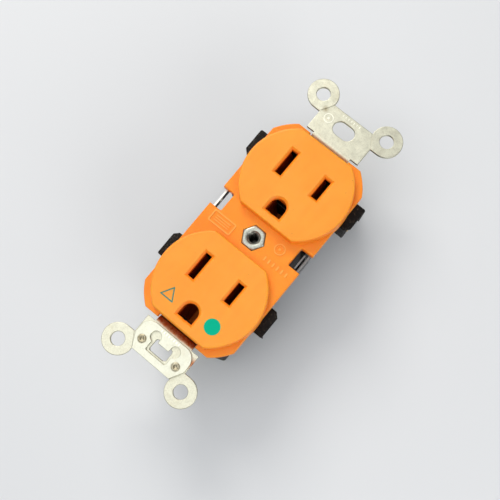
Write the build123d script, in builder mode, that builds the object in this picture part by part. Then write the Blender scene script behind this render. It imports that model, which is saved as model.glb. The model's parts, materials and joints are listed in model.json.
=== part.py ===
from build123d import *
import os

# Isolated-ground duplex wall receptacle: two three-pin outlets in one moulded face, held in a
# wrap-around mounting strap. All lengths are in millimetres.
# The origin is the centre of the four ear holes, on the ears' rear plane, which is the wall plane.
# +X is the side of the short (hot) slots, +Y is the end away from the ground holes, +Z leaves the face.

os.makedirs("parts", exist_ok=True)

# Outlet pattern
outlet_pitch = 38.9
blade_x = 6.35
blade_rise = 3.3
ground_drop = 11.9
outlet_ys = {"upper": outlet_pitch / 2, "lower": -outlet_pitch / 2}
blade_ys = {place: y + blade_rise for place, y in outlet_ys.items()}
ground_ys = {place: y - ground_drop for place, y in blade_ys.items()}
sides = {"hot": 1, "neutral": -1}
slot_lengths = {"hot": 6.8, "neutral": 8.3}
slot_width = 2.2
slot_lead_in = 0.7
longest_opening_edge = 10.0
ground_hole_radius = 2.62
ground_hole_flat = 2.5

# Front face
flange_top = 2.9
flange_half_width = 16.65
flange_end = 34.85
flange_radius = 19.2
flange_edge_round = 0.35
flange_corner_round = 1.0
leg_notch_depth = 1.1
leg_notch_gap = 0.35
face_radius = 16.95
face_half_height = 14.15
face_top = 6.3
face_draft = 1.5
face_edge_round = 0.7
contact_pocket_top = 4.0
dot_radius = 2.35
dot_thickness = 0.6
dot_proud = 0.03
dot_x = 7.6
dot_y = -27.2

# Side notches, which show the break-off tabs
notch_y = blade_rise
notch_length = 6.2
notch_floor = 12.6
notch_floor_round = 0.5
notch_mouth_round = 0.9

# Mounting strap
strap_thickness = 1.3
ear_x = 11.87
ear_y = 47.0
ear_radius = 4.8
ear_hole_radius = 2.12
plate_half_width = 9.5
plate_outer_y = 46.35
plate_outer_half = 6.9
plate_neck_y = ear_y - ear_radius
leg_half_width = 6.75
leg_inner_y = 33.8
bend_radius = 1.1
plate_inner_y = leg_inner_y + strap_thickness + bend_radius
sheet_edge_round = 0.18
box_screw_y = 83.34 / 2
box_screw_slot = (7.1, 4.6)
box_screw_window = (6.0, 3.9)
box_screw_window_round = 0.8
crease_length = 4.5
crease_width = 0.35
crease_depth = 0.2
clip_thickness = 0.8
clip_half_width = 9.1
clip_inner_y = -36.35
clip_corner_round = 3.6
clip_window_y = -41.85
clip_window = (7.4, 4.6)
clip_window_round = 0.5
tongue_width = 3.9
tongue_round = 0.3
tongue_tip_y = -40.6
tongue_root_y = -37.8
tongue_relief_x = 3.55
tongue_relief_y = -39.55
tongue_relief_radius = 1.65
rivet_x = 6.3
rivet_y = -42.5
rivet_radius = 1.1
stake_countersink = 0.6
stake_radius = 1.25
stake_dimple_radius = 0.55
stake_height = 0.22

# Back body
body_half_width = 14.0
body_end = 33.5
body_depth = 24.7
body_edge_round = 1.2
pocket_depth = 17.0
blade_pocket_width = 4.8
blade_pocket_length = 10.4
blade_pocket_x = 6.8
ground_channel_half = 3.4
ground_channel_gap = 0.25
ground_pocket_half = 2.85
ground_floor = 19.0
body_foot_chamfer = 1.0
ejector_mark_x = 10.4
ejector_mark_y = 27.5
ejector_mark_radius = 1.6
ejector_mark_depth = 0.2

# Side terminals
terminal_pitch = 39.5
terminal_ys = {"upper": notch_y + terminal_pitch / 2, "lower": notch_y - terminal_pitch / 2}
terminal_z = -7.8
block_length = 8.8
block_root = 12.5
block_reach = 19.8
block_top = -0.4
block_bottom = -15.5
block_draft = 2
block_corner_cut = 1.4
block_corner_round = 0.6
block_top_round = 0.55
recess_half = 3.6
recess_top = -1.0
rib_spacing = 7.5
rib_half = 1.2
rib_bottom = -6.4
neck_top = -1.8
neck_bottom = -3.4
neck_overlap = 0.1
channel_gap = 0.1
bar_inner = 15.4
bar_thickness = 0.6
bar_height = 12.0
tap_radius = 2.13
screw_radius = 2.05
clamp_hole_radius = 2.14
clamp_thickness = 1.1
clamp_height = 8.4
clamp_play = 0.3
clamp_corner_round = 0.5
head_radius = 3.4
head_thickness = 1.7
head_round = 0.45
slot_cut = 1.0
slot_depth = 0.9
cross_slot_ratio = 1.2
shank_length = 6.6
part_gap = 0.05

# Ground path
ground_tab_x = -10.2
ground_tab_width = 6.0
ground_tab_face = -29.4
ground_tab_thickness = 0.8
ground_tab_top = -4.0
ground_arm_inner_y = -25.4
ground_screw_z = -8.0
ground_recess_inner_x = -6.6
ground_recess_top = -2.0
ground_recess_bottom = -13.5
ground_ring_radius = 5.4
ground_strip_half = 3.0
ground_strip_thickness = 0.8
ground_strip_end = ground_ys["upper"] + 2.6
ground_strip_start = ground_ys["lower"] - 2.6
ground_head_radius = 3.1
ground_head_thickness = 1.5
ground_shank_length = 5.0
ground_clamp_height = 7.4
ground_clamp_thickness = 0.9

# Bus bars and contacts
link_top = -0.15
lip_x = 14.2
lip_thickness = 0.5
lip_half = 2.4
lip_bottom = -7.0
rivet_mark_radius = 0.7
leaf_thickness = 0.6
leaf_bend = 0.5
leaf_tip = 2.6
leaf_mouth = 2.0
leaf_flare = 0.5
leaf_base = -14.0
leaf_width = 7.4
blade_grip = 1.3
arm_offset = 3.0
arm_thickness = 0.8
arm_top = -2.5
arm_bottom = -11.5
arm_slot_inner_x = 8.0
pin_grip = 4.4
pin_flare = 0.3
pin_leaf_length = 4.6
band_bottom = -9.0
band_height = 5.0
band_outline = (6.5, 5.5)
band_bore = (5.65, 4.7)
band_round = 0.6

# Centre post
post_across_flats = 6.45
post_clearance = 0.15
post_seat = 1.2
post_top = 3.3
post_edge_chamfer = 0.25
post_shank_radius = 2.5
post_thread_radius = 1.375
post_thread_depth = 11.0
post_countersink = 0.5
sleeve_radius = 3.5

clip_top = strap_thickness + clip_thickness
strap_back = -body_depth - strap_thickness
shank_bore = screw_radius + 0.25
shank_bore_depth = 5.6
small = 0.01
rear_of_face = Plane.XY
outlet_centres = [(0, y) for y in outlet_ys.values()]
terminal_places = [(side, place) for side in sides for place in terminal_ys]


def save(builder, name):
    """Labels a finished piece and writes it as its own STEP file."""
    builder.part.label = name
    export_step(builder.part, f"parts/{name}.step")


def span(xs, ys, zs, mode=Mode.ADD):
    """Adds or cuts a box between two values on each axis."""
    with Locations((sum(xs) / 2, sum(ys) / 2, sum(zs) / 2)):
        Box(abs(xs[1] - xs[0]), abs(ys[1] - ys[0]), abs(zs[1] - zs[0]), mode=mode)


def ground_hole_outline():
    """Adds a ground hole to the sketch: round towards the blades and flat on the other side."""
    Circle(ground_hole_radius)
    with Locations((0, -ground_hole_flat / 2)):
        Rectangle(2 * ground_hole_radius, ground_hole_flat)


def contact_pockets():
    """Adds the plan of every contact pocket to the sketch in progress."""
    for y in blade_ys.values():
        with Locations((blade_pocket_x, y), (-blade_pocket_x, y)):
            Rectangle(blade_pocket_width, blade_pocket_length)
    for y in ground_ys.values():
        with Locations((0, y)):
            Rectangle(2 * ground_channel_half, 2 * ground_pocket_half)


# Front face: one orange moulding with a flange and two raised outlets ---------------------------

with BuildSketch() as outlet_outline:
    Circle(face_radius)
    Rectangle(2 * face_radius, 2 * face_half_height, mode=Mode.INTERSECT)

with BuildPart() as front_face:
    with BuildSketch() as flange_outline:
        with Locations(outlet_centres):
            Circle(flange_radius)
        Rectangle(2 * flange_half_width, outlet_pitch)
        Rectangle(2 * flange_half_width, 2 * flange_end, mode=Mode.INTERSECT)
        with Locations((0, flange_end), (0, -flange_end)):
            Rectangle(2 * (leg_half_width + leg_notch_gap), 2 * leg_notch_depth, mode=Mode.SUBTRACT)
        with Locations((flange_half_width, notch_y), (-flange_half_width, notch_y)):
            Rectangle(2 * (flange_half_width - notch_floor), notch_length, mode=Mode.SUBTRACT)
        corners = flange_outline.vertices()
        notch_floor_corners = [v for v in corners if abs(abs(v.X) - notch_floor) < small]
        fillet(notch_floor_corners, notch_floor_round)
        notch_mouth_corners = [
            v
            for v in corners
            if abs(v.X) > flange_half_width - small and abs(v.Y - notch_y) < notch_length
        ]
        fillet(notch_mouth_corners, notch_mouth_round)
        end_corners = [
            v for v in corners if abs(v.X) > plate_half_width and abs(v.Y) > flange_end - small
        ]
        fillet(end_corners, flange_corner_round)
    extrude(amount=flange_top)
    fillet(front_face.edges().group_by(Axis.Z)[-1], flange_edge_round)
    with BuildSketch(rear_of_face):
        with Locations(outlet_centres):
            add(outlet_outline.sketch)
    extrude(amount=face_top, taper=face_draft)
    fillet(front_face.edges().group_by(Axis.Z)[-1], face_edge_round)

    # Pin openings, with a sloped lead-in round each one
    with BuildSketch(Plane.XY.offset(face_top)):
        for side, sign in sides.items():
            for y in blade_ys.values():
                with Locations((sign * blade_x, y)):
                    Rectangle(slot_width, slot_lengths[side])
        for y in ground_ys.values():
            with Locations((0, y)):
                ground_hole_outline()
    extrude(amount=-face_top, mode=Mode.SUBTRACT)
    top_edges = front_face.edges().group_by(Axis.Z)[-1]
    chamfer(top_edges.filter_by(lambda e: e.length < longest_opening_edge), slot_lead_in)

    # Rear pockets over the contacts
    with BuildSketch(rear_of_face):
        contact_pockets()
    extrude(amount=contact_pocket_top, mode=Mode.SUBTRACT)

    # Seat and hole for the centre post
    with BuildSketch(Plane.XY.offset(post_seat)):
        RegularPolygon(post_across_flats / 2 + post_clearance, 6, major_radius=False)
    extrude(amount=face_top, mode=Mode.SUBTRACT)
    with BuildSketch(rear_of_face):
        Circle(post_shank_radius + post_clearance)
    extrude(amount=post_seat, mode=Mode.SUBTRACT)

    # Seat for the green dot
    with BuildSketch(Plane.XY.offset(face_top - dot_thickness)):
        with Locations((dot_x, dot_y)):
            Circle(dot_radius)
    extrude(amount=dot_thickness, mode=Mode.SUBTRACT)
save(front_face, "front_face")

with BuildPart() as green_dot:
    with BuildSketch(Plane.XY.offset(face_top - dot_thickness)):
        with Locations((dot_x, dot_y)):
            Circle(dot_radius)
    extrude(amount=dot_thickness + dot_proud)
save(green_dot, "green_dot")


# Back body: one black moulding with the contact pockets and four terminal blocks ----------------

with BuildPart() as back_body:
    with BuildSketch(rear_of_face):
        Rectangle(2 * body_half_width, 2 * body_end)
    extrude(amount=-body_depth)
    fillet(back_body.edges().filter_by(Axis.Z), body_edge_round)
    chamfer(back_body.edges().group_by(Axis.Z)[0], body_foot_chamfer)

    # Terminal blocks, with the corner towards the middle of the body cut off
    for side, place in terminal_places:
        sign = sides[side]
        y = terminal_ys[place]
        inward = -1 if place == "upper" else 1
        with BuildSketch(Plane.XY.offset(block_top)) as block_plan:
            with Locations((sign * (block_root + block_reach) / 2, y)):
                Rectangle(block_reach - block_root, block_length)
            outer = [v for v in block_plan.vertices() if abs(v.X) > block_reach - small]
            outer.sort(key=lambda v: inward * v.Y)
            chamfer(outer[-1], block_corner_cut)
            fillet(outer[0], block_corner_round)
        extrude(amount=block_top - block_bottom, dir=(0, 0, -1), taper=block_draft)
        block_edges = back_body.edges().filter_by_position(Axis.Z, block_top - small, block_top + small)
        outside = [
            e
            for e in block_edges
            if sign * e.center().X > body_half_width + part_gap and inward * (e.center().Y - notch_y) < 0
        ]
        fillet(outside, block_top_round)
        span(
            (sign * bar_inner, sign * (block_reach + 1)),
            (y - recess_half, y + recess_half),
            (block_bottom - 1, recess_top),
            Mode.SUBTRACT,
        )
        with BuildSketch(Plane(origin=(sign * bar_inner, y, terminal_z), z_dir=(-sign, 0, 0))):
            Circle(shank_bore)
        extrude(amount=shank_bore_depth, mode=Mode.SUBTRACT)

    # Ribs that carry the bus bar between the terminals
    for sign in sides.values():
        for y in (notch_y - rib_spacing, notch_y + rib_spacing):
            span(
                (sign * body_half_width, sign * bar_inner),
                (y - rib_half, y + rib_half),
                (rib_bottom, block_top),
            )

    # Neck slots where each bus bar passes through the terminal blocks
    neck_end = terminal_pitch / 2 - recess_half + neck_overlap
    for sign in sides.values():
        span(
            (sign * (bar_inner - part_gap), sign * (bar_inner + bar_thickness + 2 * part_gap)),
            (notch_y - neck_end, notch_y + neck_end),
            (neck_bottom - 2 * part_gap, neck_top + 2 * part_gap),
            Mode.SUBTRACT,
        )

    # Open channels behind the side notches
    for sign in sides.values():
        span(
            (sign * (notch_floor - channel_gap), sign * (bar_inner + 1)),
            (notch_y - notch_length / 2 - channel_gap, notch_y + notch_length / 2 + channel_gap),
            (-body_depth - 1, 1),
            Mode.SUBTRACT,
        )

    # Shallow round marks of the ejector pins on the rear
    with BuildSketch(Plane.XY.offset(-body_depth)):
        with GridLocations(2 * ejector_mark_x, 2 * ejector_mark_y, 2, 2):
            Circle(ejector_mark_radius)
    extrude(amount=ejector_mark_depth, mode=Mode.SUBTRACT)

    # Contact pockets, the ground channel and the slots for the contact arms
    with BuildSketch(rear_of_face):
        for y in blade_ys.values():
            with Locations((blade_pocket_x, y), (-blade_pocket_x, y)):
                Rectangle(blade_pocket_width, blade_pocket_length)
    extrude(amount=-pocket_depth, mode=Mode.SUBTRACT)
    with BuildSketch(rear_of_face):
        with Locations((0, (ground_strip_start + ground_strip_end) / 2)):
            Rectangle(2 * ground_channel_half, ground_strip_end - ground_strip_start + 2 * ground_channel_gap)
        Circle(ground_ring_radius + 4 * part_gap)
        with Locations((ground_tab_x / 2, (ground_tab_face + ground_arm_inner_y) / 2)):
            Rectangle(
                ground_tab_width - ground_tab_x + 4 * part_gap,
                ground_arm_inner_y - ground_tab_face + 2 * part_gap,
            )
    extrude(amount=-ground_floor, mode=Mode.SUBTRACT)
    for side, place in terminal_places:
        y = terminal_ys[place] + arm_offset
        span(
            (sides[side] * arm_slot_inner_x, sides[side] * bar_inner),
            (y - arm_thickness / 2 - part_gap, y + arm_thickness / 2 + part_gap),
            (arm_bottom - 2 * part_gap, 2 * part_gap),
            Mode.SUBTRACT,
        )

    # Corner recess for the ground screw, open at the end and at the side
    span(
        (-body_half_width - 2, ground_recess_inner_x),
        (-body_end - 1, ground_tab_face),
        (ground_recess_bottom, ground_recess_top),
        Mode.SUBTRACT,
    )

    # Hole for the insulating sleeve of the centre post
    with BuildSketch(Plane.XY.offset(-body_depth)):
        Circle(sleeve_radius + part_gap)
    extrude(amount=body_depth, mode=Mode.SUBTRACT)
save(back_body, "back_body")


# Mounting strap: end plates with ears, and a band that wraps round the back ----------------------

mid_leg = leg_inner_y + strap_thickness / 2
mid_plate = strap_thickness / 2
mid_back = -body_depth - strap_thickness / 2
crease_slope = (plate_outer_y - plate_neck_y) / (plate_outer_half - plate_half_width)

with BuildPart() as mounting_strap:
    with BuildSketch(Plane.YZ.offset(-leg_half_width)):
        with BuildLine() as band_line:
            FilletPolyline(
                (plate_inner_y + 1, mid_plate),
                (mid_leg, mid_plate),
                (mid_leg, mid_back),
                (-mid_leg, mid_back),
                (-mid_leg, mid_plate),
                (-plate_inner_y - 1, mid_plate),
                radius=bend_radius + strap_thickness / 2,
            )
        trace(line_width=strap_thickness)
    extrude(amount=2 * leg_half_width)
    with BuildSketch(rear_of_face):
        for end in (1, -1):
            with BuildLine():
                Polyline(
                    (-plate_half_width, end * plate_inner_y),
                    (-plate_half_width, end * plate_neck_y),
                    (-ear_x, end * plate_neck_y),
                    (-ear_x, end * ear_y),
                    (-plate_outer_half, end * plate_outer_y),
                    (plate_outer_half, end * plate_outer_y),
                    (ear_x, end * ear_y),
                    (ear_x, end * plate_neck_y),
                    (plate_half_width, end * plate_neck_y),
                    (plate_half_width, end * plate_inner_y),
                    close=True,
                )
            make_face()
            with Locations((ear_x, end * ear_y), (-ear_x, end * ear_y)):
                Circle(ear_radius)
        with GridLocations(2 * ear_x, 2 * ear_y, 2, 2):
            Circle(ear_hole_radius, mode=Mode.SUBTRACT)
        with Locations((0, box_screw_y)):
            SlotOverall(*box_screw_slot, mode=Mode.SUBTRACT)
        with Locations((0, -box_screw_y)):
            RectangleRounded(*box_screw_window, box_screw_window_round, mode=Mode.SUBTRACT)
        with Locations((rivet_x, rivet_y), (-rivet_x, rivet_y)):
            Circle(rivet_radius, mode=Mode.SUBTRACT)
    extrude(amount=strap_thickness)
    plate_edges = mounting_strap.edges().filter_by_position(Axis.Z, -small, strap_thickness + small)
    rolled_edges = [
        e
        for e in plate_edges
        if abs(e.center().Y) > plate_inner_y + small and abs(e.center().Z - mid_plate) > small
    ]
    fillet(rolled_edges, sheet_edge_round)

    # Creases where the ears snap off
    for end in (1, -1):
        for sign in sides.values():
            crease = Plane(
                origin=(
                    sign * (plate_outer_half + plate_half_width) / 2,
                    end * (plate_outer_y + plate_neck_y) / 2,
                    strap_thickness,
                ),
                x_dir=(sign, end * crease_slope, 0),
                z_dir=(0, 0, 1),
            )
            with BuildSketch(crease):
                Rectangle(crease_length, crease_width)
            extrude(amount=-crease_depth, mode=Mode.SUBTRACT)

    # Countersunk hole at the back for the staked end of the centre post
    with BuildSketch(Plane.XY.offset(strap_back)):
        Circle(post_shank_radius + part_gap)
    extrude(amount=strap_thickness, mode=Mode.SUBTRACT)
    back_rim = mounting_strap.edges().group_by(Axis.Z)[0].filter_by(GeomType.CIRCLE)
    chamfer(back_rim, stake_countersink)
save(mounting_strap, "mounting_strap")


# Self-grounding clip: a thin plate on the lower end plate, with a spring tongue -------------------

with BuildPart() as self_ground_clip:
    with BuildSketch(Plane.XY.offset(strap_thickness)) as clip_outline:
        with BuildLine():
            Polyline(
                (-clip_half_width, clip_inner_y),
                (-clip_half_width, -plate_neck_y),
                (-plate_outer_half, -plate_outer_y),
                (plate_outer_half, -plate_outer_y),
                (clip_half_width, -plate_neck_y),
                (clip_half_width, clip_inner_y),
                close=True,
            )
        make_face()
        fillet([v for v in clip_outline.vertices() if v.Y > clip_inner_y - small], clip_corner_round)
        with Locations((0, clip_window_y)):
            RectangleRounded(*clip_window, clip_window_round, mode=Mode.SUBTRACT)
        with Locations((tongue_relief_x, tongue_relief_y), (-tongue_relief_x, tongue_relief_y)):
            Circle(tongue_relief_radius, mode=Mode.SUBTRACT)
        with Locations((0, (tongue_tip_y + tongue_root_y) / 2)):
            RectangleRounded(tongue_width, tongue_root_y - tongue_tip_y, tongue_round)
        with Locations((rivet_x, rivet_y), (-rivet_x, rivet_y)):
            Circle(rivet_radius, mode=Mode.SUBTRACT)
    extrude(amount=clip_thickness)
save(self_ground_clip, "self_ground_clip")

with BuildPart() as clip_rivets:
    with BuildSketch(rear_of_face):
        with Locations((rivet_x, rivet_y), (-rivet_x, rivet_y)):
            Circle(rivet_radius)
    extrude(amount=clip_top)
    with BuildSketch(Plane.XY.offset(clip_top)):
        with Locations((rivet_x, rivet_y), (-rivet_x, rivet_y)):
            Circle(stake_radius)
            Circle(stake_dimple_radius, mode=Mode.SUBTRACT)
    extrude(amount=stake_height)
save(clip_rivets, "clip_rivets")


# Centre post: hexagon head, tapped for the cover plate screw, staked into the strap --------------

with BuildPart() as centre_post:
    with BuildSketch(Plane.XY.offset(post_seat)):
        RegularPolygon(post_across_flats / 2, 6, major_radius=False)
    extrude(amount=post_top - post_seat)
    chamfer(centre_post.edges().group_by(Axis.Z)[-1], post_edge_chamfer)
    with BuildSketch(Plane.XY.offset(strap_back)):
        Circle(post_shank_radius)
    extrude(amount=post_seat - strap_back)
    with BuildSketch(Plane.XY.offset(post_top)):
        Circle(post_thread_radius)
    extrude(amount=-post_thread_depth, mode=Mode.SUBTRACT)
    mouth = centre_post.edges().group_by(Axis.Z)[-1].filter_by(GeomType.CIRCLE)
    chamfer(mouth, post_countersink)
save(centre_post, "centre_post")

with BuildPart() as post_sleeve:
    with BuildSketch(Plane.XY.offset(-body_depth)):
        Circle(sleeve_radius)
        Circle(post_shank_radius + part_gap, mode=Mode.SUBTRACT)
    extrude(amount=body_depth)
save(post_sleeve, "post_sleeve")


# Bus bars and blade contacts ----------------------------------------------------------------------

bar_outer = bar_inner + bar_thickness

for side, sign in sides.items():
    with BuildPart() as bus_bar:
        with BuildSketch(Plane.YZ.offset(sign * bar_inner)):
            for y in terminal_ys.values():
                with Locations((y, terminal_z)):
                    Rectangle(2 * (recess_half - 2 * part_gap), bar_height)
            with Locations((notch_y, (link_top + neck_bottom) / 2)):
                Rectangle(terminal_pitch - block_length - 4 * part_gap, link_top - neck_bottom)
            with Locations((notch_y, (neck_top + neck_bottom) / 2)):
                Rectangle(terminal_pitch - recess_half, neck_top - neck_bottom)
            with Locations(*[(y, terminal_z) for y in terminal_ys.values()]):
                Circle(tap_radius, mode=Mode.SUBTRACT)
            with Locations((notch_y, (link_top + neck_bottom) / 2)):
                Circle(rivet_mark_radius, mode=Mode.SUBTRACT)
        extrude(amount=sign * bar_thickness)
        if side == "hot":
            lip_y = (notch_y - lip_half, notch_y + lip_half)
            span((bar_inner, bar_outer), lip_y, (lip_bottom, neck_bottom))
            span((lip_x, bar_outer), lip_y, (lip_bottom, lip_bottom + lip_thickness))
            span((lip_x, lip_x + lip_thickness), lip_y, (lip_bottom, link_top))
    save(bus_bar, f"{side}_bus_bar")

for side, place in terminal_places:
    sign = sides[side]
    centre = sign * blade_x
    offset = (blade_grip + leaf_thickness) / 2
    with BuildPart() as blade_contact:
        with BuildSketch(Plane.XZ.offset(-blade_ys[place] - leaf_width / 2)):
            with BuildLine():
                FilletPolyline(
                    (centre - offset - leaf_flare, leaf_tip),
                    (centre - offset, leaf_tip - leaf_mouth),
                    (centre - offset, leaf_base),
                    (centre + offset, leaf_base),
                    (centre + offset, leaf_tip - leaf_mouth),
                    (centre + offset + leaf_flare, leaf_tip),
                    radius=leaf_bend,
                )
            trace(line_width=leaf_thickness)
        extrude(amount=leaf_width)
        arm_y = terminal_ys[place] + arm_offset
        span(
            (sign * (blade_x + offset), sign * bar_inner),
            (arm_y - arm_thickness / 2, arm_y + arm_thickness / 2),
            (arm_bottom, arm_top),
        )
    save(blade_contact, f"{side}_contact_{place}")


# Ground path: one strip, two pin contacts with steel bands, and the ground terminal ---------------

with BuildPart() as ground_strip:
    with BuildSketch(Plane.XY.offset(-ground_floor)):
        with Locations((0, (ground_strip_start + ground_strip_end) / 2)):
            Rectangle(2 * ground_strip_half, ground_strip_end - ground_strip_start)
        Circle(ground_ring_radius)
        Circle(sleeve_radius + 2 * part_gap, mode=Mode.SUBTRACT)
        arm_end = ground_tab_x - ground_tab_width / 2
        with Locations((arm_end / 2, (ground_tab_face + ground_arm_inner_y) / 2)):
            Rectangle(-arm_end, ground_arm_inner_y - ground_tab_face)
    extrude(amount=ground_strip_thickness)
    with BuildSketch(Plane.XZ.offset(-ground_tab_face - ground_tab_thickness)):
        with Locations((ground_tab_x, (ground_tab_top - ground_floor) / 2)):
            Rectangle(ground_tab_width, ground_tab_top + ground_floor)
        with Locations((ground_tab_x, ground_screw_z)):
            Circle(tap_radius, mode=Mode.SUBTRACT)
    extrude(amount=ground_tab_thickness)
save(ground_strip, "ground_strip")

pin_offset = (pin_grip + leaf_thickness) / 2
pin_base = -ground_floor + ground_strip_thickness + leaf_thickness / 2
for place, y in ground_ys.items():
    with BuildPart() as ground_contact:
        with BuildSketch(Plane.XZ.offset(-y - pin_leaf_length / 2)):
            with BuildLine():
                FilletPolyline(
                    (-pin_offset - pin_flare, leaf_tip),
                    (-pin_offset, leaf_tip - leaf_mouth),
                    (-pin_offset, pin_base),
                    (pin_offset, pin_base),
                    (pin_offset, leaf_tip - leaf_mouth),
                    (pin_offset + pin_flare, leaf_tip),
                    radius=leaf_bend,
                )
            trace(line_width=leaf_thickness)
        extrude(amount=pin_leaf_length)
    save(ground_contact, f"ground_contact_{place}")

    with BuildPart() as ground_band:
        with BuildSketch(Plane.XY.offset(band_bottom)):
            with Locations((0, y)):
                RectangleRounded(*band_outline, band_round)
                Rectangle(*band_bore, mode=Mode.SUBTRACT)
        extrude(amount=band_height)
    save(ground_band, f"ground_band_{place}")


# Terminal screws with their clamp plates ------------------------------------------------------------

def terminal_pair(seat, outward, up, clamp_size, shank, head, names):
    """Makes a clamp plate and its screw on an axis that points outward from the tapped plate."""
    base = Plane(origin=seat, x_dir=up, z_dir=outward)
    width, height, thickness = clamp_size
    head_seat = 2 * part_gap + thickness
    with BuildPart() as clamp:
        with BuildSketch(base.offset(part_gap)):
            RectangleRounded(height, width, clamp_corner_round)
            Circle(clamp_hole_radius, mode=Mode.SUBTRACT)
        extrude(amount=thickness)
    save(clamp, names[0])
    with BuildPart() as screw:
        with BuildSketch(base.offset(head_seat - shank)):
            Circle(screw_radius)
        extrude(amount=shank)
        with BuildSketch(base.offset(head_seat)):
            Circle(head[0])
        extrude(amount=head[1])
        fillet(screw.edges().group_by(Axis(seat, outward))[-1], head_round)
        with BuildSketch(base.offset(head_seat + head[1])):
            Rectangle(2 * head[0] + 1, slot_cut)
            Rectangle(slot_cut, cross_slot_ratio * head[0])
        extrude(amount=-slot_depth, mode=Mode.SUBTRACT)
    save(screw, names[1])


for side, place in terminal_places:
    sign = sides[side]
    terminal_pair(
        seat=(sign * bar_outer, terminal_ys[place], terminal_z),
        outward=(sign, 0, 0),
        up=(0, 0, 1),
        clamp_size=(2 * recess_half - clamp_play, clamp_height, clamp_thickness),
        shank=shank_length,
        head=(head_radius, head_thickness),
        names=(f"{side}_clamp_{place}", f"{side}_screw_{place}"),
    )

terminal_pair(
    seat=(ground_tab_x, ground_tab_face, ground_screw_z),
    outward=(0, -1, 0),
    up=(0, 0, 1),
    clamp_size=(ground_tab_width, ground_clamp_height, ground_clamp_thickness),
    shank=ground_shank_length,
    head=(ground_head_radius, ground_head_thickness),
    names=("ground_clamp", "ground_screw"),
)
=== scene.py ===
import json
import math

import bmesh
import bpy
from mathutils import Matrix, Vector


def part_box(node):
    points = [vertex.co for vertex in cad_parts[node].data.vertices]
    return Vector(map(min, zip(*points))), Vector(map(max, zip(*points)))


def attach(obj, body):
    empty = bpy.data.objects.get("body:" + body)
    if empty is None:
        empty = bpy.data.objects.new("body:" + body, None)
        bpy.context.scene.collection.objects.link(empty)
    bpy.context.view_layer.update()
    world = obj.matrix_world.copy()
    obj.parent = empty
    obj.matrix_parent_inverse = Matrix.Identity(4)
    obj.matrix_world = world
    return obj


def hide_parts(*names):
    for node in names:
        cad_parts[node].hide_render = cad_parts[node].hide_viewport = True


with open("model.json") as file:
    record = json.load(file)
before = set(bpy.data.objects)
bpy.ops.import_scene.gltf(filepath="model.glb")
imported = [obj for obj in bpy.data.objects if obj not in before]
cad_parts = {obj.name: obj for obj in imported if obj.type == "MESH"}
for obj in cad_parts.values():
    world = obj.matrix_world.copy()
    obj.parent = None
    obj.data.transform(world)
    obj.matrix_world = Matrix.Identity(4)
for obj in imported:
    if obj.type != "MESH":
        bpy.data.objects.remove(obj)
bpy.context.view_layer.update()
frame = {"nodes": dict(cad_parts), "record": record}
nodes = frame["nodes"]

# Sizes and places on the part are in millimetres, and MM turns them into metres where a mesh or a
# texture is made. The camera, the lights, the bench and the boxes from the frame are in metres.
MM = 0.001
HOUSING = "receptacle"

# Heights and places on the part; a node's box in the frame gives those that it can
face_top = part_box("front_face")[1].z / MM
flange_top = 2.9
plate_top = 1.3
clip_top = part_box("self_ground_clip")[1].z / MM
post_seat = 1.2
stake_radius = 1.25
rivet_low, rivet_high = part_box("clip_rivets")
rivet_x = rivet_high.x / MM - stake_radius
rivet_y = (rivet_low.y + rivet_high.y) / 2 / MM


# Camera and light ---------------------------------------------------------------------------------

camera_position = Vector((0.0338, -0.0259, 0.2295))
camera_target = Vector((0.0010, -0.0031, 0.0))
camera_up = Vector((-0.6230, 0.7646, 0.1650))
camera_lens = 57.6
sensor_width = 36
nearest_view = 0.01

# Name, position, diameter, power in watts and colour. The key is beyond the neutral side's upper
# end, so shadows fall towards the hot side and the lower end.
LIGHTS = [
    ("overhead_softbox", (-0.13, -0.12, 0.59), 0.74, 2.2, (1, 1, 1)),
    ("key_light", (-0.38, 0.30, 0.40), 0.30, 2.3, (1.0, 0.97, 0.93)),
    ("fill_light", (0.44, -0.14, 0.20), 0.36, 1.1, (1, 1, 1)),
]
light_up = Vector((0, 1, 0.01))
sky_colour = (0.86, 0.92, 1.0, 1)
sky_strength = 0.22
bench_size = 3
bench_gap = 0.00003
bench_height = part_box("mounting_strap")[0].z - bench_gap
bench_colour = (0.72, 0.73, 0.74, 1)
bench_roughness = 0.85


def aim(obj, position, target, up):
    """Puts a camera or light at position, looking at target, with up towards its upper edge."""
    backward = (position - target).normalized()
    right = up.cross(backward).normalized()
    upward = backward.cross(right)
    turn = Matrix((right, upward, backward)).transposed().to_4x4()
    obj.matrix_world = Matrix.Translation(position) @ turn


def add_camera():
    data = bpy.data.cameras.new("camera")
    data.lens = camera_lens
    data.sensor_width = sensor_width
    data.clip_start = nearest_view
    camera = bpy.data.objects.new("camera", data)
    bpy.context.scene.collection.objects.link(camera)
    aim(camera, camera_position, camera_target, camera_up)
    bpy.context.scene.camera = camera


def add_area_light(name, position, size, power, colour):
    data = bpy.data.lights.new(name, "AREA")
    data.shape = "DISK"
    data.size = size
    data.energy = power
    data.color = colour
    light = bpy.data.objects.new(name, data)
    bpy.context.scene.collection.objects.link(light)
    aim(light, Vector(position), Vector((0, 0, 0)), light_up)


def add_studio():
    """Pale surroundings, soft lights and a pale bench under the strap's back."""
    world = bpy.data.worlds.new("studio")
    world.use_nodes = True
    background = world.node_tree.nodes["Background"]
    background.inputs["Color"].default_value = sky_colour
    background.inputs["Strength"].default_value = sky_strength
    bpy.context.scene.world = world
    for light in LIGHTS:
        add_area_light(*light)
    bpy.context.scene.view_settings.view_transform = "Standard"

    bpy.ops.mesh.primitive_plane_add(size=bench_size, location=(0, 0, bench_height))
    bench = bpy.context.object
    bench.name = "bench"
    material, _, shader = new_material("bench_surface")
    shader.inputs["Base Color"].default_value = bench_colour
    shader.inputs["Roughness"].default_value = bench_roughness
    bench.data.materials.append(material)


# Material tools -----------------------------------------------------------------------------------


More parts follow.
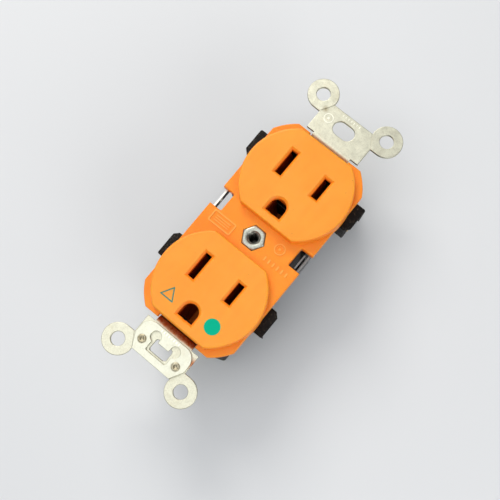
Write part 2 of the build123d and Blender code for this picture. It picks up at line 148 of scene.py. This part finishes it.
def new_material(name):
    material = bpy.data.materials.new(name)
    material.use_nodes = True
    tree = material.node_tree
    return material, tree, tree.nodes["Principled BSDF"]


def space(tree, stretch=(1, 1, 1)):
    """Coordinates fixed to the piece, in millimetres, stretched along its axes."""
    place = tree.nodes.new("ShaderNodeTexCoord")
    mapping = tree.nodes.new("ShaderNodeMapping")
    mapping.inputs["Scale"].default_value = [s / MM for s in stretch]
    tree.links.new(place.outputs["Object"], mapping.inputs["Vector"])
    return mapping.outputs["Vector"]


def noise(tree, coordinates, per_mm, detail=3, rough=0.5):
    """Cloudy noise from zero to one, with a number of features per millimetre."""
    node = tree.nodes.new("ShaderNodeTexNoise")
    node.inputs["Scale"].default_value = per_mm
    node.inputs["Detail"].default_value = detail
    node.inputs["Roughness"].default_value = rough
    tree.links.new(coordinates, node.inputs["Vector"])
    return node.outputs["Fac"]


def ramp(tree, value, stops):
    """Turns a value into colours; stops are (position, colour) pairs."""
    node = tree.nodes.new("ShaderNodeValToRGB")
    elements = node.color_ramp.elements
    elements[0].position, elements[0].color = stops[0][0], (*stops[0][1], 1)
    elements[1].position, elements[1].color = stops[-1][0], (*stops[-1][1], 1)
    for position, colour in stops[1:-1]:
        elements.new(position).color = (*colour, 1)
    tree.links.new(value, node.inputs["Fac"])
    return node.outputs["Color"]


def remap(tree, value, low, high, start, end):
    """Turns the span from start to end into the span from low to high, and holds it outside."""
    node = tree.nodes.new("ShaderNodeMapRange")
    node.inputs["From Min"].default_value = start
    node.inputs["From Max"].default_value = end
    node.inputs["To Min"].default_value = low
    node.inputs["To Max"].default_value = high
    tree.links.new(value, node.inputs["Value"])
    return node.outputs["Result"]


def mix_colour(tree, factor, first, second, mode="MIX"):
    """Mixes two colours; each argument is a constant or the output of a node."""
    node = tree.nodes.new("ShaderNodeMix")
    node.data_type = "RGBA"
    node.blend_type = mode
    for value, index in ((factor, 0), (first, 6), (second, 7)):
        socket = node.inputs[index]
        if isinstance(value, (int, float)):
            socket.default_value = value
        elif isinstance(value, tuple):
            socket.default_value = (*value, 1)
        else:
            tree.links.new(value, socket)
    return node.outputs[2]


def bump(tree, height, depth_mm, strength=1.0, below=None):
    """Surface relief of a depth, on top of the relief below."""
    node = tree.nodes.new("ShaderNodeBump")
    node.inputs["Distance"].default_value = depth_mm * MM
    node.inputs["Strength"].default_value = strength
    tree.links.new(height, node.inputs["Height"])
    if below is not None:
        tree.links.new(below, node.inputs["Normal"])
    return node.outputs["Normal"]


def along(tree, coordinates, axis):
    split = tree.nodes.new("ShaderNodeSeparateXYZ")
    tree.links.new(coordinates, split.inputs["Vector"])
    return split.outputs[axis]


def multiply(tree, first, second):
    node = tree.nodes.new("ShaderNodeMath")
    node.operation = "MULTIPLY"
    tree.links.new(first, node.inputs[0])
    tree.links.new(second, node.inputs[1])
    return node.outputs["Value"]


def near(tree, coordinates, centre, inner, outer):
    """One within a distance of a point, falling to zero at a larger distance."""
    reach = tree.nodes.new("ShaderNodeVectorMath")
    reach.operation = "DISTANCE"
    reach.inputs[1].default_value = centre
    tree.links.new(coordinates, reach.inputs[0])
    return remap(tree, reach.outputs["Value"], 1.0, 0.0, inner, outer)


def specks(tree, coordinates, per_mm, size):
    """One at scattered dots that fade to zero at their rims; size is their radius over spacing."""
    solid_part = 0.6
    node = tree.nodes.new("ShaderNodeTexVoronoi")
    node.inputs["Scale"].default_value = per_mm
    tree.links.new(coordinates, node.inputs["Vector"])
    return remap(tree, node.outputs["Distance"], 1.0, 0.0, size * solid_part, size)


def spot(centre, inner, outer, colour, stretch=(1, 1, 1)):
    """A stain or painted shade: whole within the inner distance of its centre and gone at the outer
    one.

    Where space is stretched, the centre and both distances are in stretched space.
    """
    return stretch, centre, inner, outer, colour


# Materials ----------------------------------------------------------------------------------------


def moulded_plastic(
    name,
    colours,
    roughness,
    grain_mm,
    specular=0.4,
    glow=0.0,
    dust=None,
    dust_size=0.05,
    scuffs=0,
    painted_light_by_height=(),
):
    """Moulded plastic: cloudy colour, flow lines, fine grain, uneven gloss, dust specks and scuffs.

    colours holds the two ends of the clouding and the colour of the flow lines.
    The height tints, the last argument, hold (height, tint) pairs from the lowest up: painted shade
    that deepens the colour lower down and in recesses, and painted highlight where a tint rises
    above one.
    """
    material, tree, shader = new_material(name)
    here = space(tree)
    cloud = noise(tree, here, per_mm=0.09, detail=4)
    flow = noise(tree, space(tree, (1, 0.25, 1)), per_mm=0.5)
    base = ramp(tree, cloud, [(0.35, colours[0]), (0.65, colours[1])])
    base = mix_colour(tree, remap(tree, flow, 0.0, 0.35, start=0.45, end=0.75), base, colours[2])
    if dust is not None:
        base = mix_colour(tree, specks(tree, here, per_mm=0.35, size=dust_size), base, dust)
    if scuffs:
        scratches = noise(tree, here, per_mm=1.7, detail=6, rough=0.75)
        scuffed = remap(tree, scratches, 0.0, scuffs, start=0.54, end=0.70)
        base = mix_colour(tree, scuffed, base, dust)
    # Painted shade and highlight: the colour is multiplied by a tint that follows the height in the
    # piece.
    if painted_light_by_height:
        bottom, top = painted_light_by_height[0][0], painted_light_by_height[-1][0]
        height = remap(tree, along(tree, here, "Z"), 0.0, 1.0, start=bottom, end=top)
        stops = [((level - bottom) / (top - bottom), tint) for level, tint in painted_light_by_height]
        base = mix_colour(tree, 1.0, base, ramp(tree, height, stops), "MULTIPLY")
    tree.links.new(base, shader.inputs["Base Color"])
    gloss = remap(tree, noise(tree, here, per_mm=0.8, detail=5), *roughness, start=0.3, end=0.7)
    tree.links.new(gloss, shader.inputs["Roughness"])
    grain = bump(tree, noise(tree, here, per_mm=1 / grain_mm, detail=2), depth_mm=0.012)
    waves = bump(tree, noise(tree, here, per_mm=0.22, detail=2), depth_mm=0.05, below=grain)
    tree.links.new(waves, shader.inputs["Normal"])
    shader.inputs["IOR"].default_value = 1.5
    shader.inputs["Specular IOR Level"].default_value = specular
    if glow:
        shader.inputs["Subsurface Weight"].default_value = glow
        shader.inputs["Subsurface Scale"].default_value = 1.0 * MM
        shader.inputs["Subsurface Radius"].default_value = (1.0, 0.3, 0.08)
    return material


def plated_metal(
    name,
    colours,
    roughness,
    brushed=(1, 1, 1),
    pits=(0.52, 0.75),
    stain=None,
    stain_amount=0.25,
    spots=(),
):
    """Plated or rolled metal: rolling grain, blotches, pitting, fine scratches, tarnish and spots.

    colours holds the two ends of the blotches and the colour of the pits.
    brushed stretches the rolling grain, and pits is the span of noise over which pitting sets in.
    """
    material, tree, shader = new_material(name)
    shader.inputs["Metallic"].default_value = 1.0
    here = space(tree)
    blotch = noise(tree, here, per_mm=0.55, detail=6, rough=0.62)
    base = ramp(tree, blotch, [(0.3, colours[0]), (0.7, colours[1])])
    pitting = noise(tree, here, per_mm=2.6, detail=4, rough=0.7)
    base = mix_colour(tree, remap(tree, pitting, 0.0, 0.45, *pits), base, colours[2])
    if stain is not None:
        tarnish = noise(tree, here, per_mm=0.2, detail=6, rough=0.7)
        stained = remap(tree, tarnish, 0.0, stain_amount, start=0.5, end=0.72)
        base = mix_colour(tree, stained, base, stain)
    for stretch, centre, inner, outer, colour in spots:
        patch = near(tree, space(tree, stretch), centre, inner, outer)
        clouds = noise(tree, here, per_mm=1.1, detail=5, rough=0.7)
        mottle = remap(tree, clouds, 0.55, 1.0, start=0.35, end=0.6)
        base = mix_colour(tree, multiply(tree, patch, mottle), base, colour)
    tree.links.new(base, shader.inputs["Base Color"])
    rolled = noise(tree, space(tree, brushed), per_mm=6.0)
    scratch = noise(tree, space(tree, (0.35, 6.0, 6.0)), per_mm=1.0, detail=2)
    worn = mix_colour(tree, 0.5, blotch, rolled)
    gloss = remap(tree, worn, *roughness, start=0.35, end=0.65)
    tree.links.new(gloss, shader.inputs["Roughness"])
    grain = bump(tree, rolled, depth_mm=0.006)
    lines = bump(tree, scratch, depth_mm=0.01, strength=0.5, below=grain)
    tree.links.new(lines, shader.inputs["Normal"])
    return material


def make_plastics():
    return {
        "orange": moulded_plastic(
            "orange_nylon",
            [(0.96, 0.330, 0.026), (0.98, 0.355, 0.034), (0.94, 0.300, 0.022)],
            (0.38, 0.52),
            0.22,
            specular=0.30,
            glow=0.45,
            dust=(0.40, 0.12, 0.02),
            scuffs=0.06,
            # Painted shade deepens the orange below the top face, on the flange, the drum walls and
            # in the slots; painted highlight lightens a band round the drum rims.
            painted_light_by_height=[
                (0.0, (0.92, 0.66, 0.42)),
                (2.6, (0.98, 0.78, 0.46)),
                (3.0, (1.0, 0.88, 0.44)),
                (5.6, (1.0, 0.72, 0.44)),
                (6.0, (1.0, 0.86, 0.62)),
                (6.2, (1.0, 1.08, 1.05)),
                (6.28, (1.0, 1.08, 1.05)),
                (6.3, (1.0, 1.01, 1.0)),
            ],
        ),
        # Painted highlight: a lighter copy of the orange nylon for the raised marks, for the light
        # that catches their edges.
        "raised": moulded_plastic(
            "orange_nylon_painted_highlight",
            [(1.0, 0.40, 0.060), (1.0, 0.42, 0.070), (0.98, 0.37, 0.050)],
            (0.34, 0.46),
            0.22,
            specular=0.35,
            glow=0.3,
        ),
        "black": moulded_plastic(
            "black_thermoset",
            [(0.004, 0.003, 0.0025), (0.009, 0.007, 0.006), (0.020, 0.016, 0.013)],
            (0.42, 0.66),
            0.3,
            specular=0.13,
            dust=(0.16, 0.130, 0.095),
            scuffs=0.6,
        ),
        "green": moulded_plastic(
            "green_inlay",
            [(0.0, 0.41, 0.235), (0.0, 0.44, 0.26), (0.0, 0.38, 0.215)],
            (0.40, 0.55),
            0.2,
            specular=0.06,
            dust=(0.0, 0.25, 0.14),
        ),
        "ink": moulded_plastic(
            "teal_ink",
            [(0.05, 0.21, 0.16), (0.07, 0.25, 0.18), (0.12, 0.24, 0.13)],
            (0.5, 0.6),
            0.2,
            specular=0.2,
            dust=(0.5, 0.25, 0.06),
            dust_size=0.12,
        ),
        "sleeve": moulded_plastic(
            "natural_nylon",
            [(0.62, 0.58, 0.48), (0.68, 0.64, 0.54), (0.58, 0.53, 0.42)],
            (0.4, 0.55),
            0.25,
            glow=0.2,
        ),
    }


def make_metals():
    rust_and_painted_shade = (0.42, 0.126, 0.032)
    dark_tan = (0.34, 0.29, 0.18)
    bore_shade = (0.05, 0.045, 0.035)
    return {
        "strap": plated_metal(
            "plated_strap",
            [(0.57, 0.56, 0.44), (0.73, 0.72, 0.58), (0.34, 0.31, 0.22)],
            (0.34, 0.56),
            (1, 0.3, 1),
            pits=(0.48, 0.72),
            stain=(0.46, 0.38, 0.22),
            spots=[
                spot((-8.4, 43.7, plate_top), 0.2, 1.3, dark_tan),
                spot((9.2, -39.0, plate_top), 0.4, 2.2, rust_and_painted_shade),
                # Painted shade and reflection: a brown band across the lower bend, which lies in
                # the flange's shade and mirrors the orange; it shares the rust spot's brown.
                spot((0, -35.0, 0.5), 1.1, 1.5, rust_and_painted_shade, stretch=(0.1, 1, 1)),
            ],
        ),
        "clip": plated_metal(
            "bright_plated_clip",
            [(0.61, 0.61, 0.50), (0.71, 0.71, 0.59), (0.42, 0.39, 0.28)],
            (0.32, 0.52),
            (1, 0.12, 1),
            stain=(0.50, 0.42, 0.24),
            # Darker round the foot of each rivet and over its lip.
            spots=[
                spot((-rivet_x, rivet_y, clip_top), 1.2, 1.55, dark_tan),
                spot((rivet_x, rivet_y, clip_top), 1.2, 1.55, dark_tan),
            ],
        ),
        "burnished": plated_metal(
            "burnished_plate",
            [(0.84, 0.83, 0.70), (0.94, 0.93, 0.80), (0.66, 0.62, 0.50)],
            (0.30, 0.45),
        ),
        "zinc": plated_metal(
            "zinc_post",
            [(0.40, 0.42, 0.36), (0.56, 0.58, 0.51), (0.18, 0.165, 0.125)],
            (0.32, 0.55),
            pits=(0.44, 0.62),
            stain=(0.15, 0.13, 0.09),
            # Painted shade: a dark sleeve round the post's axis darkens the bore and its mouth,
            # where the hole lies in shade.
            spots=[spot((0, 0, 0), 1.65, 2.2, bore_shade, stretch=(1, 1, 0.1))],
        ),
        "steel": plated_metal(
            "spring_steel",
            [(0.030, 0.028, 0.026), (0.055, 0.050, 0.045), (0.020, 0.016, 0.012)],
            (0.45, 0.6),
            (0.1, 1, 1),
        ),
        "brass": plated_metal(
            "bright_brass",
            [(0.74, 0.50, 0.18), (0.88, 0.64, 0.28), (0.50, 0.32, 0.10)],
            (0.20, 0.38),
            (1, 0.1, 1),
            stain=(0.42, 0.22, 0.08),
        ),
        "aged_brass": plated_metal(
            "aged_contact_brass",
            [(0.52, 0.120, 0.020), (0.66, 0.170, 0.030), (0.34, 0.070, 0.014)],
            (0.38, 0.56),
            (1, 0.1, 1),
            stain=(0.16, 0.030, 0.008),
            stain_amount=0.5,
        ),
        "nickel": plated_metal(
            "nickel_plate",
            [(0.64, 0.62, 0.56), (0.78, 0.76, 0.70), (0.44, 0.41, 0.34)],
            (0.22, 0.38),
            (1, 0.12, 1),
            stain=(0.40, 0.35, 0.25),
        ),
        # Painted shade: a darker copy of the nickel plate, for the hot bus bar, which lies in
        # shade.
        "shaded_nickel": plated_metal(
            "nickel_plate_painted_shade",
            [(0.13, 0.125, 0.12), (0.24, 0.235, 0.23), (0.08, 0.06, 0.05)],
            (0.30, 0.48),
            (1, 0.12, 1),
            stain=(0.12, 0.07, 0.05),
        ),
        "green_screw": plated_metal(
            "green_dyed_plate",
            [(0.03, 0.26, 0.08), (0.05, 0.36, 0.12), (0.10, 0.24, 0.08)],
            (0.28, 0.45),
            stain=(0.25, 0.28, 0.10),
        ),
    }


NODE_FINISH = {
    "front_face": "orange",
    "back_body": "black",
    "green_dot": "green",
    "post_sleeve": "sleeve",
    "mounting_strap": "strap",
    "self_ground_clip": "clip",
    "clip_rivets": "clip",
    "centre_post": "zinc",
    "neutral_bus_bar": "nickel",
    # The hot bus bar gets the nickel plate darkened as painted shade
    "hot_bus_bar": "shaded_nickel",
    "ground_screw": "green_screw",
    "ground_clamp": "nickel",
}
FAMILY_FINISH = {
    "ground_band": "steel",
    "neutral_screw": "nickel",
    "neutral_clamp": "nickel",
    "hot_clamp": "nickel",
    "hot_contact": "aged_brass",
    "neutral_contact": "aged_brass",
    "ground_contact": "aged_brass",
    "ground_strip": "aged_brass",
}


def finish_of(name):
    """The material key of a CAD node; a node that is not listed is bright brass."""
    family = next((f for f in FAMILY_FINISH if name.startswith(f)), None)
    return NODE_FINISH.get(name) or FAMILY_FINISH.get(family, "brass")


def dress_nodes(materials):
    for name, obj in nodes.items():
        obj.data.materials.clear()
        obj.data.materials.append(materials[finish_of(name)])


# Mesh tools ---------------------------------------------------------------------------------------

sharp_edge = math.radians(35)
bevelled_edge = math.radians(40)
flat_joint = math.radians(1)
weld_distance = 0.0005
thread_pitch = 0.794


def piece_from(bm, name, material, body=HOUSING):
    """Turns a closed bmesh, built in the frame's coordinates, into a piece that rides on a body."""
    mesh = bpy.data.meshes.new(name)
    bmesh.ops.recalc_face_normals(bm, faces=bm.faces)
    bm.to_mesh(mesh)
    bm.free()
    obj = bpy.data.objects.new(name, mesh)
    bpy.context.scene.collection.objects.link(obj)
    mesh.materials.append(material)
    mesh.shade_smooth()
    mesh.set_sharp_from_angle(angle=sharp_edge)
    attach(obj, body)
    return obj


def placed(origin, outward=(0, 0, 1), up=(1, 0, 0)):
    """A matrix from local millimetres, with Z outward and X along up, to the frame."""
    axis = Vector(outward)
    first = Vector(up)
    turn = Matrix((first, axis.cross(first), axis)).transposed().to_4x4()
    return Matrix.Translation(origin) @ turn @ Matrix.Scale(MM, 4)


def join_rings(bm, first, second):
    """Faces between two rings of vertices; a ring of one vertex is a pole."""
    count = max(len(first), len(second))
    for i in range(count):
        j = (i + 1) % count
        corners = (
            first[i % len(first)],
            first[j % len(first)],
            second[j % len(second)],
            second[i % len(second)],
        )
        bm.faces.new(list(dict.fromkeys(corners)))


def turned(bm, rows, place, count):
    """A turned shape from pole to pole. A row is a height and a radius, or a radius by angle."""
    rings = []
    for height, radius in rows:
        if radius == 0:
            rings.append([bm.verts.new(place @ Vector((0, 0, height)))])
            continue
        ring = []
        for i in range(count):
            angle = 2 * math.pi * i / count
            reach = radius(angle) if callable(radius) else radius
            point = Vector((reach * math.cos(angle), reach * math.sin(angle), height))
            ring.append(bm.verts.new(place @ point))
        rings.append(ring)
    for first, second in zip(rings, rings[1:]):
        join_rings(bm, first, second)


def thread_rows(start, end, crest, root, fade):
    """Rows of a helical thread between two heights, which fades out over a length at both ends."""
    rows_per_turn = 8
    flank_slope = 2.5
    flank_start = 0.9
    steps = math.ceil(abs(end - start) / thread_pitch * rows_per_turn)

    def reach_at(height):
        ease = min(1, abs(height - start) / fade, abs(end - height) / fade)

        def reach(angle):
            phase = (height / thread_pitch - angle / (2 * math.pi)) % 1
            groove = min(1, max(0, flank_slope * abs(2 * phase - 1) - flank_start))
            return crest + (root - crest) * (groove * ease + (1 - ease) * 0.5)

        return reach

    heights = [start + (end - start) * i / steps for i in range(steps + 1)]
    return [(height, reach_at(height)) for height in heights]


def apply_modifiers(obj):
    graph = bpy.context.evaluated_depsgraph_get()
    result = bpy.data.meshes.new_from_object(obj.evaluated_get(graph))
    obj.modifiers.clear()
    obj.data = result


def settle(obj):
    """Applies the modifiers of a piece, and keeps its flat faces flat in the shading."""
    obj.modifiers.new("flats", "WEIGHTED_NORMAL").keep_sharp = True
    apply_modifiers(obj)


def carved(obj, outline, bottom, top, place):
    """Cuts a prism over an outline, in local millimetres, out of a piece."""
    bm = bmesh.new()
    rings = [[bm.verts.new(place @ Vector((x, y, z))) for x, y in outline] for z in (bottom, top)]
    join_rings(bm, *rings)
    for ring in rings:
        bm.faces.new(ring)
    bmesh.ops.recalc_face_normals(bm, faces=bm.faces)
    mesh = bpy.data.meshes.new("cutter")
    bm.to_mesh(mesh)
    bm.free()
    cutter = bpy.data.objects.new("cutter", mesh)
    bpy.context.scene.collection.objects.link(cutter)
    cut = obj.modifiers.new("cut", "BOOLEAN")
    cut.operation = "DIFFERENCE"
    cut.solver = "EXACT"
    cut.object = cutter
    apply_modifiers(obj)
    obj.data.set_sharp_from_angle(angle=sharp_edge)
    bpy.data.objects.remove(cutter)
    bpy.data.meshes.remove(mesh)
    settle(obj)


def body_of(name):
    bodies = frame["record"]["behaviour"]["bodies"]
    return next(body for body, members in bodies.items() if name in members)


def add_rounded_copy(name, edge, material):
    """A piece in the shape of a CAD node, with its sharp edges rounded; it stands for that node."""
    bm = bmesh.new()
    bm.from_mesh(nodes[name].data)
    bmesh.ops.remove_doubles(bm, verts=bm.verts, dist=weld_distance * MM)
    bmesh.ops.dissolve_limit(bm, angle_limit=flat_joint, verts=bm.verts, edges=bm.edges)
    obj = piece_from(bm, f"{name}_finished", material, body_of(name))
    bevel = obj.modifiers.new("edge", "BEVEL")
    bevel.width = edge * MM
    bevel.segments = 2
    bevel.limit_method = "ANGLE"
    bevel.angle_limit = bevelled_edge
    settle(obj)
    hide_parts(name)


def raise_outline(bm, outlines, bottom, top):
    """A closed band between an outer and an inner loop of points, in millimetres."""
    rings = []
    for loop in outlines:
        rings.append([bm.verts.new((x * MM, y * MM, bottom * MM)) for x, y in loop])
        rings.append([bm.verts.new((x * MM, y * MM, top * MM)) for x, y in loop])
    outer_low, outer_high, inner_low, inner_high = rings
    for first, second in (
        (outer_low, outer_high),
        (outer_high, inner_high),
        (inner_high, inner_low),
        (inner_low, outer_low),
    ):
        join_rings(bm, first, second)


def raise_pad(bm, loop, bottom, top, edge=0.06):
    """A closed low pad over a loop of points, whose sides lean in by the edge, in millimetres."""
    centre = Vector((sum(x for x, y in loop) / len(loop), sum(y for x, y in loop) / len(loop)))
    low = [bm.verts.new((x * MM, y * MM, bottom * MM)) for x, y in loop]
    high = []
    for x, y in loop:
        inward = (centre - Vector((x, y))).normalized() * edge
        high.append(bm.verts.new(((x + inward.x) * MM, (y + inward.y) * MM, top * MM)))
    join_rings(bm, low, high)
    bm.faces.new(high)
    bm.faces.new(low)


def rounded_rectangle(cx, cy, width, height, radius, steps=4):
    """The outline of a rectangle with round corners, counterclockwise from its right side."""
    points = []
    for quarter, (sx, sy) in enumerate(((1, 1), (-1, 1), (-1, -1), (1, -1))):
        for step in range(steps + 1):
            angle = math.radians(90 * (quarter + step / steps))
            points.append(
                (
                    cx + sx * (width / 2 - radius) + radius * math.cos(angle),
                    cy + sy * (height / 2 - radius) + radius * math.sin(angle),
                )
            )
    return points


def circle(cx, cy, radius, count=40):
    turns = [2 * math.pi * i / count for i in range(count)]
    return [(cx + radius * math.cos(a), cy + radius * math.sin(a)) for a in turns]


def cross(reach, short_reach, half_width):
    """The outline of a cross with two long arms along X and two short ones along Y."""
    corner = [(reach, half_width), (half_width, half_width), (half_width, short_reach)]
    left = [(-x, y) for x, y in reversed(corner)]
    return corner + left + [(-x, -y) for x, y in corner] + [(-x, -y) for x, y in left]


# Marks --------------------------------------------------------------------------------------------

# How far each kind of mark stands out of its surface and reaches into it
printed_height, printed_root = 0.03, 0.02
moulded_height, moulded_root = 0.26, 0.05
stamped_height, stamped_root = 0.09, 0.03
clip_stamp_height, clip_stamp_root = 0.04, 0.03

triangle_centre = (-7.75, -27.85)
frame_centre = (-10.0, -2.2)
dial_centre = (8.0, 2.1)
bar_row_start = (6.3, -2.6)
ring_centre = (-6.0, 42.0)
tick_row_start = (-3.0, 45.35)
clip_row_start = (-3.2, -37.2)


def rounded_triangle(cx, cy, side, radius, steps=4):
    """Corners of an upright triangle, each rounded to a radius."""
    reach = side / math.sqrt(3) - 2 * radius
    points = []
    for corner in range(3):
        middle = math.radians(90 + 120 * corner)
        for step in range(steps + 1):
            angle = middle + math.radians(120 * (step / steps - 0.5))
            points.append(
                (
                    cx + reach * math.cos(middle) + radius * math.cos(angle),
                    cy + reach * math.sin(middle) + radius * math.sin(angle),
                )
            )
    return points


def add_row(bm, start, bottom, top, spacing, count, size, radius):
    """A row of equal pads along X."""
    for column in range(count):
        outline = rounded_rectangle(start[0] + spacing * column, start[1], *size, radius)
        raise_pad(bm, outline, bottom, top)


def add_triangle(material):
    """The printed isolated-ground triangle."""
    bm = bmesh.new()
    outer = rounded_triangle(*triangle_centre, side=4.75, radius=0.16)
    inner = rounded_triangle(*triangle_centre, side=3.45, radius=0.02)
    raise_outline(bm, (outer, inner), face_top - printed_root, face_top + printed_height)
    piece_from(bm, "isolated_ground_triangle", material)


def add_moulded_marks(material):
    """Plain raised marks on the flange: a blank frame, a tick dial and a row of bars."""
    base, top = flange_top - moulded_root, flange_top + moulded_height
    bm = bmesh.new()
    outer = rounded_rectangle(*frame_centre, width=8.0, height=3.9, radius=0.5)
    inner = rounded_rectangle(*frame_centre, width=7.2, height=3.1, radius=0.25)
    raise_outline(bm, (outer, inner), base, top)
    cx, cy = frame_centre
    for rise in (-0.7, 0.0, 0.7):
        bar = rounded_rectangle(cx, cy + rise, width=5.4, height=0.3, radius=0.12)
        raise_pad(bm, bar, base, top)
    piece_from(bm, "blank_frame_mark", material)

    bm = bmesh.new()
    outer = circle(*dial_centre, radius=1.7)
    inner = circle(*dial_centre, radius=1.4)
    raise_outline(bm, (outer, inner), base, top)
    cx, cy = dial_centre
    for hour in range(12):
        angle = math.radians(30 * hour)
        dot = circle(cx + math.cos(angle), cy + math.sin(angle), radius=0.12, count=8)
        raise_pad(bm, dot, base, top, edge=0.03)
    raise_pad(bm, circle(cx, cy, radius=0.4, count=20), base, top)
    piece_from(bm, "tick_dial_mark", material)

    bm = bmesh.new()
    add_row(bm, bar_row_start, base, top, spacing=1.55, count=6, size=(0.55, 1.5), radius=0.2)
    piece_from(bm, "bar_row_mark", material)


def add_stamped_marks(material):
    """Shallow stamped marks: a ring and a row of ticks on the strap, and ticks on the clip."""
    base, top = plate_top - stamped_root, plate_top + stamped_height
    bm = bmesh.new()
    outer = circle(*ring_centre, radius=1.5)
    inner = circle(*ring_centre, radius=1.25)
    raise_outline(bm, (outer, inner), base, top)
    raise_pad(bm, circle(*ring_centre, radius=0.45, count=20), base, top)
    add_row(bm, tick_row_start, base, top, spacing=1.0, count=7, size=(0.35, 0.8), radius=0.1)
    piece_from(bm, "stamped_strap_marks", material)

    bm = bmesh.new()
    base, top = clip_top - clip_stamp_root, clip_top + clip_stamp_height
    add_row(bm, clip_row_start, base, top, spacing=0.9, count=8, size=(0.3, 0.75), radius=0.1)
    piece_from(bm, "stamped_clip_marks", material)


# Turned metal pieces ------------------------------------------------------------------------------

# Corners round a turned piece. With 44, no edge on a screw's end passes through an inner corner of
# its crossed slots, where the cut would leave the mesh open.
rivet_sides = 40
post_sides = 96
screw_sides = 44


def add_rivets(material):
    """Two staked rivet ends: a rolled lip round a dimple with four chisel marks."""
    barrel_radius = 1.05
    top = rivet_high.z / MM
    seat = top - 0.22
    bm = bmesh.new()
    for x in (-rivet_x, rivet_x):
        rows = [
            (0.0, 0),
            (0.0, barrel_radius),
            (seat - 0.08, barrel_radius),
            # Lip
            (seat - 0.02, 1.2),
            (seat + 0.1, stake_radius),
            (top - 0.04, 1.12),
            (top, 0.95),
            # Chisel marks and dimple
            (top - 0.03, lambda angle: 0.66 + 0.12 * math.cos(4 * angle)),
            (seat + 0.02, lambda angle: 0.42 + 0.16 * math.cos(4 * angle)),
            (seat - 0.03, 0.2),
            (seat - 0.03, 0),
        ]
        turned(bm, rows, placed((x * MM, rivet_y * MM, 0)), rivet_sides)
    rivets = piece_from(bm, "staked_rivets", material)
    settle(rivets)
    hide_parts("clip_rivets")


def add_post(material):
    """The hexagon post, with its edges broken, a countersunk mouth and a threaded bore."""
    shank_radius = 2.5
    shank_end_round = 0.4
    corner_reach = 0.22
    mouth_radius = 2.1
    thread_minor, thread_major = 1.36, 1.72
    bore_depth = 11.0
    low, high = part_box("centre_post")
    bottom, top = low.z / MM, high.z / MM
    half_across = high.y / MM
    bore_bottom = top - bore_depth
    sixth = math.pi / 3

    def hexagon(reduce):
        return lambda angle: (half_across - reduce) / math.cos(angle % sixth - sixth / 2)

    def rounded_hexagon(reduce):
        return lambda angle: min(hexagon(reduce)(angle), half_across + corner_reach - reduce)

    rows = [
        # Staked shank
        (bottom, 0),
        (bottom, shank_radius - shank_end_round),
        (bottom + shank_end_round, shank_radius),
        (post_seat, shank_radius),
        # Hexagon
        (post_seat, hexagon(0.12)),
        (post_seat + 0.1, hexagon(0.0)),
        (top - 0.3, hexagon(0.0)),
        (top - 0.12, rounded_hexagon(0.06)),
        (top - 0.03, rounded_hexagon(0.22)),
        (top, rounded_hexagon(0.36)),
        # Mouth of the bore
        (top, mouth_radius),
        (top - 0.05, mouth_radius - 0.08),
        (top - 0.38, thread_major),
    ]
    rows += thread_rows(top - 0.4, bore_bottom + 0.6, thread_minor, thread_major, fade=0.3)
    rows += [(bore_bottom + 0.5, thread_minor), (bore_bottom, 1.3), (bore_bottom - 0.4, 0)]
    bm = bmesh.new()
    turned(bm, rows, placed((0, 0, 0)), post_sides)
    post = piece_from(bm, "threaded_post", material)
    settle(post)
    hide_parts("centre_post")


def add_screw(name, outward, head, material):
    """A terminal screw: threaded shank, washer rim under a rounded head, and a crossed slot."""
    thread_radius, core_radius, neck_radius = 2.02, 1.62, 1.7
    slot_half_width = 0.5
    slot_depth = 0.9
    short_slot_share = 0.6
    overshoot = 0.5
    low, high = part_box(name)
    axis = Vector(outward)
    reach = abs(((high - low) / 2).dot(axis))
    tip = (low + high) / 2 - axis * reach
    length = 2 * reach / MM
    radius, thickness = head
    underside = length - thickness
    rows = [(0.0, 0), (0.0, 1.3), (0.35, core_radius)]
    rows += thread_rows(0.4, underside - 0.5, thread_radius, core_radius, fade=0.4)
    rows += [
        (underside - 0.4, neck_radius),
        (underside, neck_radius),
        # Washer rim
        (underside, radius - 0.08),
        (underside + 0.06, radius),
        (underside + 0.5, radius),
        (underside + 0.58, radius - 0.1),
        (underside + 0.66, radius - 0.32),
        # Rounded head
        (length - 0.45, radius - 0.36),
        (length - 0.2, radius - 0.48),
        (length - 0.05, radius - 0.75),
        (length, radius - 1.1),
        (length, 0),
    ]
    place = placed(tip, outward, up=(0, 0, 1))
    bm = bmesh.new()
    turned(bm, rows, place, screw_sides)
    screw = piece_from(bm, f"{name}_threaded", material, name)
    slots = cross(radius + overshoot, short_slot_share * radius, slot_half_width)
    carved(screw, slots, length - slot_depth, length + slot_depth, place)
    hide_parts(name)


def add_screws(materials):
    """The five terminal screws; a head is a radius and a thickness."""
    side_head = (3.4, 1.7)
    ground_head = (3.1, 1.5)
    brass, nickel, green = (materials[key] for key in ("brass", "nickel", "green_screw"))
    for place in ("upper", "lower"):
        add_screw(f"hot_screw_{place}", (1, 0, 0), side_head, brass)
        add_screw(f"neutral_screw_{place}", (-1, 0, 0), side_head, nickel)
    add_screw("ground_screw", (0, -1, 0), ground_head, green)


# Build --------------------------------------------------------------------------------------------

# The nodes that get rounded edges, with the width of the rounding
edge_widths = {"self_ground_clip": 0.1, "back_body": 0.12, "ground_clamp": 0.1}
edge_widths.update({name: 0.1 for name in nodes if "_clamp_" in name})
edge_widths.update({"hot_bus_bar": 0.06, "neutral_bus_bar": 0.06})

add_camera()
add_studio()
materials = {**make_plastics(), **make_metals()}
dress_nodes(materials)
add_triangle(materials["ink"])
add_moulded_marks(materials["raised"])
add_stamped_marks(materials["burnished"])
add_rivets(materials["clip"])
add_post(materials["zinc"])
add_screws(materials)
for name, edge in edge_widths.items():
    add_rounded_copy(name, edge, materials[finish_of(name)])
